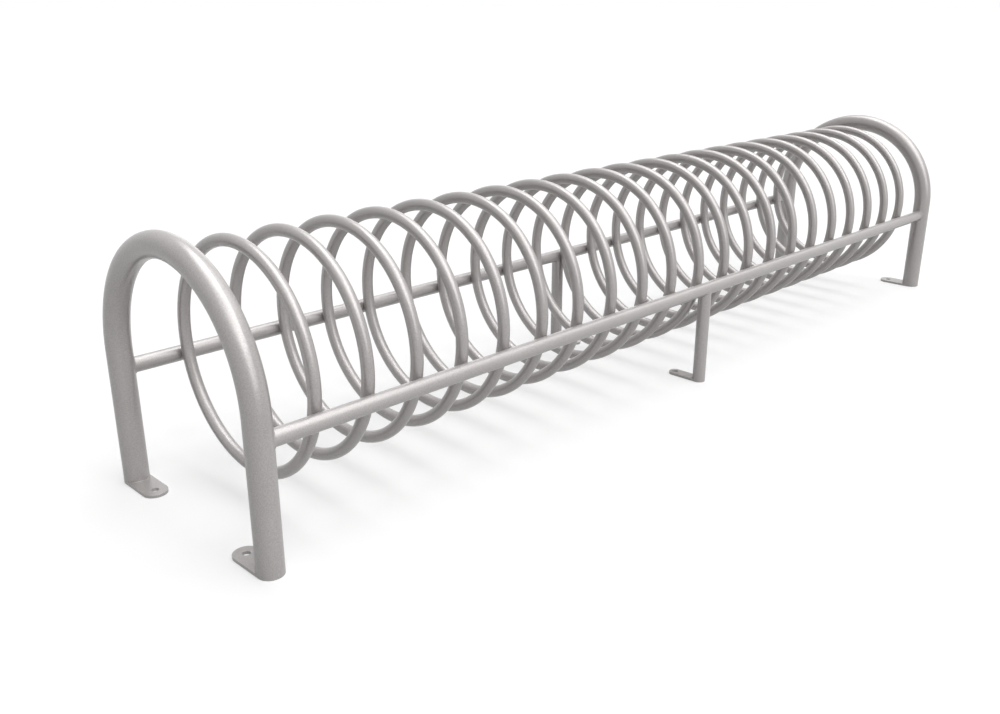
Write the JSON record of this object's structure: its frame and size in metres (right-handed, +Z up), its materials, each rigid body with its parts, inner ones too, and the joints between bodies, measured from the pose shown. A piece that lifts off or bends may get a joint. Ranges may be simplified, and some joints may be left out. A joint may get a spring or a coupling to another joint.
{
  "type": "ring bicycle rack",
  "caption": "Bicycle parking rack: a row of closed tube rings welded between two side rails, with a bent tube hoop at each end, mid legs and bolt-down foot plates.",
  "frame": {"origin": "on the ground, under the middle of the rack", "axes": "+X along the row of rings to the far end, +Y across the rack to the back rail, +Z up"},
  "size_m": [3.118, 0.648, 0.662],
  "materials": {
    "coated_steel": "satin",
    "coated_weld": "satin"
  },
  "bodies": {
    "root": {"near_end_hoop": "coated_steel", "far_end_hoop": "coated_steel", "near_front_foot_plate": "coated_steel", "near_back_foot_plate": "coated_steel", "far_front_foot_plate": "coated_steel", "far_back_foot_plate": "coated_steel", "front_rail": "coated_steel", "back_rail": "coated_steel", "front_mid_leg": "coated_steel", "back_mid_leg": "coated_steel", "front_mid_foot_plate": "coated_steel", "back_mid_foot_plate": "coated_steel", "ring_01": "coated_steel", "ring_02": "coated_steel", "ring_03": "coated_steel", "ring_04": "coated_steel", "ring_05": "coated_steel", "ring_06": "coated_steel", "ring_07": "coated_steel", "ring_08": "coated_steel", "ring_09": "coated_steel", "ring_10": "coated_steel", "ring_11": "coated_steel", "ring_12": "coated_steel", "ring_13": "coated_steel", "ring_14": "coated_steel", "ring_15": "coated_steel", "ring_16": "coated_steel", "ring_17": "coated_steel", "ring_18": "coated_steel", "ring_19": "coated_steel", "ring_20": "coated_steel", "ring_21": "coated_steel", "hoop_foot_welds": "coated_weld", "mid_foot_welds": "coated_weld", "mid_leg_welds": "coated_weld", "near_front_rail_weld": "coated_weld", "near_back_rail_weld": "coated_weld", "far_front_rail_weld": "coated_weld", "far_back_rail_weld": "coated_weld", "front_ring_welds": "coated_weld", "back_ring_welds": "coated_weld"}
  },
  "joints": []
}
